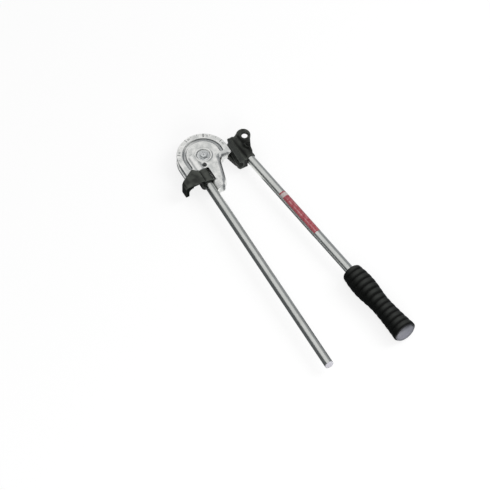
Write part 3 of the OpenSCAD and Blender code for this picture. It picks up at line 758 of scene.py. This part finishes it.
def gripGirth(share):  # radius at the crowns, in mm
    if share < grip["shoulderAt"]:
        return grip["shoulder"] - grip["noseDrop"] * (1 - share / grip["shoulderAt"]) ** 2
    if share < grip["waistAt"]:
        swing = math.pi * (share - grip["shoulderAt"]) / (grip["waistAt"] - grip["shoulderAt"])
        return grip["waist"] + (grip["shoulder"] - grip["waist"]) / 2 * (1 + math.cos(swing))
    run = (share - grip["waistAt"]) / (1 - grip["waistAt"])
    return grip["waist"] + (grip["end"] - grip["waist"]) * run ** grip["flare"]


def newTree(name, inputs):  # a geometry tree with named inputs
    tree = bpy.data.node_groups.new(name, "GeometryNodeTree")
    tree.interface.new_socket("Geometry", in_out="OUTPUT", socket_type="NodeSocketGeometry")
    sockets = {}
    for title, kind in inputs.items():
        sockets[title] = tree.interface.new_socket(title, in_out="INPUT", socket_type="NodeSocket" + kind)
    return tree, sockets, addNode(tree, "NodeGroupInput").outputs


def treeMesh(tree, sockets, values):  # the tree's result as a plain mesh
    holder = holderFor(bpy.data.meshes.new(tree.name))
    maker = holder.modifiers.new("maker", "NODES")
    maker.node_group = tree
    for title, value in values.items():
        maker[sockets[title].identifier] = value
    return plainMesh(holder)


def closeTree(tree, geometry, material):
    whole = addNode(tree, "GeometryNodeRealizeInstances", {0: geometry})
    painted = addNode(tree, "GeometryNodeSetMaterial", {"Geometry": whole.outputs[0], "Material": material})
    addNode(tree, "NodeGroupOutput", {0: painted.outputs[0]})


tree, gripSockets, given = newTree("ribbedGrip", {
    "Length": "Float", "Ribs": "Int", "Rib steps": "Int", "Rib depth": "Float", "Nose": "Float",
    "Lip": "Float", "Bore": "Float", "Seat": "Float", "Seat depth": "Float"})
rows = addNode(tree, "ShaderNodeMath", {0: given["Ribs"], 1: given["Rib steps"]}, operation="MULTIPLY")
blank = addNode(tree, "GeometryNodeMeshCylinder", {
    "Vertices": grip["segments"], "Side Segments": rows.outputs[0], "Radius": 1.0, "Depth": 1.0})
spot = addNode(tree, "GeometryNodeInputPosition")
split = addNode(tree, "ShaderNodeSeparateXYZ", {0: spot.outputs[0]})
share = addNode(tree, "ShaderNodeMath", {0: split.outputs[2], 1: 0.5}).outputs[0]  # 0 to 1 down the grip
girth = addNode(tree, "ShaderNodeFloatCurve", {"Value": share})
line = girth.mapping.curves[0]
for k in range(grip["girthSteps"] + 1):
    run = k / grip["girthSteps"]
    wide = gripGirth(run) / grip["widest"]
    if k in (0, grip["girthSteps"]):
        line.points[0 if k == 0 else -1].location = (run, wide)
    else:
        line.points.new(run, wide)
girth.mapping.update()
crown = addNode(tree, "ShaderNodeMath", {0: girth.outputs[0], 1: grip["widest"] * mm}, operation="MULTIPLY")
wave = addNode(tree, "ShaderNodeMath", {0: share, 1: given["Ribs"]}, operation="MULTIPLY")
wave = addNode(tree, "ShaderNodeMath", {0: wave.outputs[0], 1: math.pi}, operation="MULTIPLY")
wave = addNode(tree, "ShaderNodeMath", {0: wave.outputs[0]}, operation="COSINE")
wave = addNode(tree, "ShaderNodeMath", {0: wave.outputs[0]}, operation="ABSOLUTE")
wave = addNode(tree, "ShaderNodeMath", {0: wave.outputs[0], 1: grip["ribPower"]}, operation="POWER")
height = addNode(tree, "ShaderNodeMath", {0: split.outputs[1]}, operation="ABSOLUTE")
panel = addNode(tree, "ShaderNodeMapRange", {  # grooves run out towards the sides
    0: height.outputs[0], 1: grip["sideFrom"], 2: grip["sideTo"], 3: grip["sideShare"]},
    interpolation_type="SMOOTHSTEP")
depth = addNode(tree, "ShaderNodeMath", {0: panel.outputs[0], 1: given["Rib depth"]}, operation="MULTIPLY")
dip = addNode(tree, "ShaderNodeMath", {0: wave.outputs[0], 1: depth.outputs[0]}, operation="MULTIPLY")
other = addNode(tree, "ShaderNodeMath", {0: 1.0, 1: share}, operation="SUBTRACT")
radius = addNode(tree, "ShaderNodeMath", {0: crown.outputs[0], 1: dip.outputs[0]}, operation="SUBTRACT")
for gap, curl in ((share, given["Nose"]), (other.outputs[0], given["Lip"])):  # both ends turn in, rounded
    inset = addNode(tree, "ShaderNodeMath", {0: gap, 1: given["Length"]}, operation="MULTIPLY")
    short = addNode(tree, "ShaderNodeMath", {0: curl, 1: inset.outputs[0]}, operation="SUBTRACT")
    short = addNode(tree, "ShaderNodeMath", {0: short.outputs[0], 1: 0.0}, operation="MAXIMUM")
    square = addNode(tree, "ShaderNodeMath", {0: short.outputs[0], 1: short.outputs[0]}, operation="MULTIPLY")
    whole = addNode(tree, "ShaderNodeMath", {0: curl, 1: curl}, operation="MULTIPLY")
    rest = addNode(tree, "ShaderNodeMath", {0: whole.outputs[0], 1: square.outputs[0]}, operation="SUBTRACT")
    rest = addNode(tree, "ShaderNodeMath", {0: rest.outputs[0]}, operation="SQRT")
    fillet = addNode(tree, "ShaderNodeMath", {0: curl, 1: rest.outputs[0]}, operation="SUBTRACT")
    radius = addNode(tree, "ShaderNodeMath", {
        0: radius.outputs[0], 1: fillet.outputs[0]}, operation="SUBTRACT")
spread = addNode(tree, "ShaderNodeCombineXYZ", {0: radius.outputs[0], 1: radius.outputs[0]})
outward = addNode(tree, "ShaderNodeVectorMath", {
    0: spot.outputs[0], 1: spread.outputs[0]}, operation="MULTIPLY")
down = addNode(tree, "ShaderNodeMath", {0: share, 1: given["Length"]}, operation="MULTIPLY")
lower = addNode(tree, "ShaderNodeCombineXYZ", {2: down.outputs[0]})
moved = addNode(tree, "ShaderNodeVectorMath", {0: outward.outputs[0], 1: lower.outputs[0]})
sleeve = addNode(tree, "GeometryNodeSetPosition", {
    "Geometry": blank.outputs[0], "Position": moved.outputs[0]})
bore = addNode(tree, "GeometryNodeMeshCylinder", {
    "Vertices": grip["segments"], "Radius": given["Bore"], "Depth": 1.0})
deep = addNode(tree, "ShaderNodeMath", {0: given["Seat depth"], 1: 2.0}, operation="MULTIPLY")
seat = addNode(tree, "GeometryNodeMeshCylinder", {
    "Vertices": grip["segments"], "Radius": given["Seat"], "Depth": deep.outputs[0]})
farEnd = addNode(tree, "ShaderNodeCombineXYZ", {2: given["Length"]})
seatHere = addNode(tree, "GeometryNodeTransform", {
    "Geometry": seat.outputs[0], "Translation": farEnd.outputs[0]})
bored = addNode(tree, "GeometryNodeMeshBoolean", {0: sleeve.outputs[0], 1: bore.outputs[0]},
                operation="DIFFERENCE", solver="EXACT")
seated = addNode(tree, "GeometryNodeMeshBoolean", {0: bored.outputs[0], 1: seatHere.outputs[0]},
                 operation="DIFFERENCE", solver="EXACT")
closeTree(tree, seated.outputs[0], gripRubber)
gripMesh = smoothMesh(treeMesh(tree, gripSockets, {
    "Length": grip["length"] * mm, "Ribs": grip["ribs"], "Rib steps": grip["stepsPerRib"],
    "Rib depth": grip["ribDepth"] * mm, "Nose": grip["nose"] * mm, "Lip": grip["lip"] * mm,
    "Bore": grip["bore"] * mm, "Seat": grip["seat"] * mm, "Seat depth": grip["seatDepth"] * mm}))
along = np.array([vertex.co.z for vertex in gripMesh.vertices]) / (grip["length"] * mm)
gripMesh.transform(alongLever(grip["at"]))
facingUp = np.clip([normal.vector.z for normal in gripMesh.vertex_normals], 0, 1) ** grip["highlightPower"]
ribWave = np.abs(np.cos(math.pi * grip["ribs"] * along)) ** grip["ribPower"]
setShare(gripMesh, "crown", (1 - ribWave) * facingUp)  # painted highlight on the rib crowns that face up
linkPiece("grip", gripMesh, gripRubber, "lever", ["grip"])
print("grip made:", len(gripMesh.polygons), "faces")

# graduations: short bars of paint let into the rim, one deeper notch beside them
marks = {
    "inner": 31.6, "outer": 36.2, "shortInner": 33.8, "digitRadius": 33.0,  # radii
    "width": 0.8, "shortWidth": 0.5, "depth": 0.3, "proud": 0.03, "digitHeight": 2.8,
    "digitShare": 0.72,  # of the letter size that a digit's height takes
    "first": 17.6, "step": 15, "longStep": 45, "halfTurn": 180, "digitTurn": 7.8,  # degrees
    "notchRoom": 2.0,  # degrees to each side
    "count": 11, "longCount": 4,
}
barTree, barSockets, given = newTree("rimBars", {
    "Radius": "Float", "First": "Float", "Sweep": "Float", "Count": "Int", "Size": "Vector"})
arc = addNode(barTree, "GeometryNodeCurveArc", {
    "Resolution": given["Count"], "Radius": given["Radius"], "Start Angle": given["First"],
    "Sweep Angle": given["Sweep"]})
points = addNode(barTree, "GeometryNodeCurveToPoints", {"Curve": arc.outputs[0]}, mode="EVALUATED")
bar = addNode(barTree, "GeometryNodeMeshCube", {"Size": given["Size"]})
spot = addNode(barTree, "GeometryNodeInputPosition")
facing = addNode(barTree, "FunctionNodeAlignRotationToVector", {
    "Vector": spot.outputs[0]}, axis="X", pivot_axis="Z")
bars = addNode(barTree, "GeometryNodeInstanceOnPoints", {
    "Points": points.outputs[0], "Instance": bar.outputs[0], "Rotation": facing.outputs[0]})
closeTree(barTree, bars.outputs[0], markPaint)
markThick = marks["depth"] + marks["proud"]
markPlace = at(0, 0, layout["zFace"] + marks["proud"] - markThick / 2)


def rimBars(inner, step, count, width):
    mesh = treeMesh(barTree, barSockets, {
        "Radius": (inner + marks["outer"]) / 2 * mm, "First": math.radians(marks["first"]),
        "Sweep": math.radians(step * (count - 1)), "Count": count,
        "Size": (Vector((marks["outer"] - inner, width, markThick)) * mm)[:]})
    mesh.transform(markPlace)
    return mesh


def digitMesh(degrees):  # a number on the scale, its foot towards the pivot
    curve = bpy.data.curves.new("digits", "FONT")
    curve.body = str(degrees)
    curve.size = marks["digitHeight"] * mm / marks["digitShare"]
    curve.align_x = "CENTER"
    curve.align_y = "CENTER"
    curve.extrude = markThick / 2 * mm
    curve.resolution_u = 3
    mesh = plainMesh(holderFor(curve))
    angle = marks["first"] + marks["halfTurn"] - degrees - marks["digitTurn"]
    mesh.transform(markPlace @ turned(angle, "Z") @ at(marks["digitRadius"], 0, 0) @ turned(-90, "Z"))
    return mesh


def joinMarks(name, meshes):  # all but the bars that the notch takes the place of
    bm = bmesh.new()
    for mesh in meshes:
        bm.from_mesh(mesh)
    onNotch = [vert for vert in bm.verts
               if abs(math.degrees(math.atan2(vert.co.y, vert.co.x)) - notch["at"]) < marks["notchRoom"]]
    bmesh.ops.delete(bm, geom=onNotch, context="VERTS")
    return meshFrom(bm, name)


longBars = rimBars(marks["inner"], marks["longStep"], marks["longCount"], marks["width"])
shortBars = rimBars(marks["shortInner"], marks["step"], marks["count"], marks["shortWidth"])
digits = [digitMesh(marks["longStep"] * (k + 1)) for k in range(marks["longCount"])]
linkPiece("rimScale", joinMarks("rimScale", [longBars, shortBars] + digits), markPaint, "frame")
markLong = notch["to"] - notch["from"]
fillSize = (markLong - notch["endGap"], notch["width"] - notch["sideGap"], notch["fill"])
fillPlace = notchPlace @ at((markLong - notchLong) / 2, 0, notch["fill"] / 2 - notch["depth"])
indexMesh = brokenCorners(boxCutter(fillSize, fillPlace), notch["corner"])
linkPiece("indexMark", indexMesh, notchPaint, "frame")
print("scale made")

# small fittings: the part's own shapes with their corners broken by so many mm
fittings = {
    "pivot_bush": ("pivotBush", bushBronze, "frame", "bronze", 0.2),
    "thrust_washer": ("thrustRing", bushBronze, "lever", "bronze", 0.12),
    "latch_washer": ("latchWasher", turnedSteel, "frame", "plain_steel", 0.1),
    "pivot_pin": ("pivotPin", turnedSteel, "lever", "plain_steel", 0.2),
    "pivot_washer": ("pivotWasher", turnedSteel, "lever", "plain_steel", 0.15),
    "pivot_circlip": ("pivotCirclip", springSteel, "lever", "screw_steel", 0.15),
    "shoe_screws": ("shoeScrews", blackScrew, "lever", "screw_steel", 0.15),
    "handle_lock_screw": ("handleLockScrew", litScrew, "frame", "screw_steel", 0.2),
    "handle_set_screw": ("handleSetScrew", blackScrew, "lever", "screw_steel", 0.15),
}
pinEnd = {  # heights and radii of the dish and the centre mark
    "top": 27.95,
    "dishDepth": 0.5, "dishFoot": 3.0, "dishMouth": 4.5, "dishRise": 2.0,
    "drillDepth": 1.6, "drillTip": 0.1, "drillMouth": 1.5, "overlap": 0.1,
    "segments": 64,
    "shading": 30,  # degrees
}


def dishedEnd(mesh):  # the lathe's dish and centre mark in the pin's end
    dishAt = pinEnd["top"] - pinEnd["dishDepth"]
    drillAt = dishAt - pinEnd["drillDepth"] + pinEnd["overlap"]
    dish = rodCutter(pinEnd["dishFoot"], pinEnd["dishRise"], at(0, 0, dishAt), pinEnd["segments"],
                     pinEnd["dishMouth"])
    drill = rodCutter(pinEnd["drillTip"], pinEnd["drillDepth"], at(0, 0, drillAt), smallBore,
                      pinEnd["drillMouth"])
    return smoothMesh(cutAway(mesh, [dish, drill]), pinEnd["shading"])


for nodeName, (pieceName, material, body, slotName, width) in fittings.items():
    mesh = brokenCorners(mergedMesh(nodeName), width)
    if nodeName == "pivot_pin":
        mesh = dishedEnd(mesh)
    linkPiece(pieceName, mesh, material, body, [nodeName])
print("fittings made")

# stage: pale floor, white surroundings, a soft key from the right and cards that only reflections see
stage = {
    "floorSize": 8.0,  # in m
    "floorDrop": 0.05,  # in mm
    "floorDiffuse": 0.3, "floorLift": 0.79,
    "lightFrom": (0.55, 0.2, 0.81), "lightLow": 0.14, "lightHigh": 0.62,
    "aim": (0.02, -0.14, 0.015),  # in m
}
lamps = {  # place and size in m, watts
    "keyPanel": ((1.15, -0.55, 1.25), 1.0, 8.0),
    "fillPanel": ((-0.4, -2.0, 0.9), 1.2, 16.0),
}
cards = {  # corners in mm, and the shade of the card
    "leftWall": ([(-1200, -1500, 0), (-1200, 2000, 0), (-1200, 2000, 1080), (-1200, -1500, 1080)], "#5c5f61"),
    "leftGround": ([(-1200, -430, 0.4), (-23, -430, 0.4), (-23, 1200, 0.4), (-1200, 1200, 0.4)], "#5c5f61"),
    "middleGround": ([(6, -392, 0.4), (94, -392, 0.4), (51, -58, 0.4), (6, -58, 0.4)], "#6c6f71"),
    "rightWall": ([(1300, -1500, 0), (1300, 1150, 0), (1300, 1150, 2500), (1300, -1500, 2500)], "#95979a"),
    "rightGround": ([(110, -430, 0.4), (1300, -430, 0.4), (1300, 1200, 0.4), (70, 1200, 0.4)], "#b0b2b5"),
    "frontWall": (
        [(-1200, -1900, 0), (1300, -1900, 0), (1300, -1900, 2600), (-1200, -1900, 2600)], "#77797b"),
}


def seenShare(tree):  # 1 for rays that show the white surroundings: to the eye, in gloss and through glass
    rays = addNode(tree, "ShaderNodeLightPath").outputs
    direct = addNode(tree, "ShaderNodeMath", {
        0: rays["Is Camera Ray"], 1: rays["Is Glossy Ray"]}, operation="MAXIMUM")
    return addNode(tree, "ShaderNodeMath", {
        0: direct.outputs[0], 1: rays["Is Transmission Ray"]}, operation="MAXIMUM").outputs[0]


def stagePlane(name, corners, material):
    mesh = bpy.data.meshes.new(name)
    mesh.from_pydata([Vector(corner) * mm for corner in corners], [], [range(len(corners))])
    mesh.materials.append(material)
    plane = bpy.data.objects.new(name, mesh)
    scene.collection.objects.link(plane)
    return plane


floorPaper, tree = newMaterial("paperPaleMatt")
lift = addNode(tree, "ShaderNodeMath", {0: seenShare(tree), 1: stage["floorLift"]}, operation="MULTIPLY")
paper = addNode(tree, "ShaderNodeBsdfDiffuse", {"Color": [stage["floorDiffuse"]] * 3 + [1.0]})
glow = addNode(tree, "ShaderNodeEmission", {"Strength": lift.outputs[0]})
closeMaterial(floorPaper, addNode(tree, "ShaderNodeAddShader", {0: paper.outputs[0], 1: glow.outputs[0]}))
reach = stage["floorSize"] / 2 / mm
square = ((-1, -1), (1, -1), (1, 1), (-1, 1))
stagePlane("floor", [(x * reach, y * reach, -stage["floorDrop"]) for x, y in square], floorPaper)
# each card glows at a fixed grey that only gloss sees: painted reflections of dark surroundings
for name, (corners, shade) in cards.items():
    cardPaint, tree = newMaterial("cardGlowingShade")
    closeMaterial(cardPaint, addNode(tree, "ShaderNodeEmission", {"Color": shade}))
    card = stagePlane(name, corners, cardPaint)
    card.visible_camera = False
    card.visible_diffuse = False
    card.visible_shadow = False
    card.visible_transmission = False

world = bpy.data.worlds.new("studio")
world.use_nodes = True
scene.world = world
tree = world.node_tree
tree.nodes.clear()
towards = addNode(tree, "ShaderNodeTexCoord").outputs["Generated"]
facing = addNode(tree, "ShaderNodeVectorMath", {
    0: towards, 1: Vector(stage["lightFrom"]).normalized()}, operation="DOT_PRODUCT")
soft = addNode(tree, "ShaderNodeMapRange", {
    0: facing.outputs["Value"], 1: -1.0, 2: 1.0, 3: stage["lightLow"], 4: stage["lightHigh"]})
strength = addNode(tree, "ShaderNodeMix", {0: seenShare(tree), 2: soft.outputs[0], 3: 1.0})
sky = addNode(tree, "ShaderNodeBackground", {"Strength": strength.outputs[0]})
addNode(tree, "ShaderNodeOutputWorld", {"Surface": sky.outputs[0]})

for name, (spot, size, power) in lamps.items():
    lamp = bpy.data.lights.new(name, "AREA")
    lamp.shape = "SQUARE"
    lamp.size = size
    lamp.energy = power
    panel = bpy.data.objects.new(name, lamp)
    scene.collection.objects.link(panel)
    panel.visible_glossy = False
    panel.location = Vector(spot)
    panel.rotation_mode = "QUATERNION"
    panel.rotation_quaternion = (Vector(stage["aim"]) - panel.location).to_track_quat("-Z", "Y")

# camera: a long lens, so that the handles keep their width as in the photograph
view = {
    "azimuth": -28.6, "elevation": 54.5, "halfAngle": 1.2,  # degrees
    "target": (-19.75, -155.3, 17.5), "width": 669.8, "sensor": 36.0,  # in mm
    "clip": (0.1, 60.0),  # in m
}
turn = math.radians(view["azimuth"])
rise = math.radians(view["elevation"])
slope = math.tan(math.radians(view["halfAngle"]))
back = Vector((math.sin(turn) * math.cos(rise), -math.cos(turn) * math.cos(rise), math.sin(rise)))
lens = bpy.data.cameras.new("camera")
lens.sensor_width = view["sensor"]
lens.lens = lens.sensor_width / 2 / slope
lens.clip_start, lens.clip_end = view["clip"]
camera = bpy.data.objects.new("camera", lens)
scene.collection.objects.link(camera)
camera.location = Vector(view["target"]) * mm + back * (view["width"] * mm / 2 / slope)
camera.rotation_mode = "QUATERNION"
camera.rotation_quaternion = (-back).to_track_quat("-Z", "Y")
scene.camera = camera
scene.view_settings.view_transform = "Standard"
print("stage and camera set")
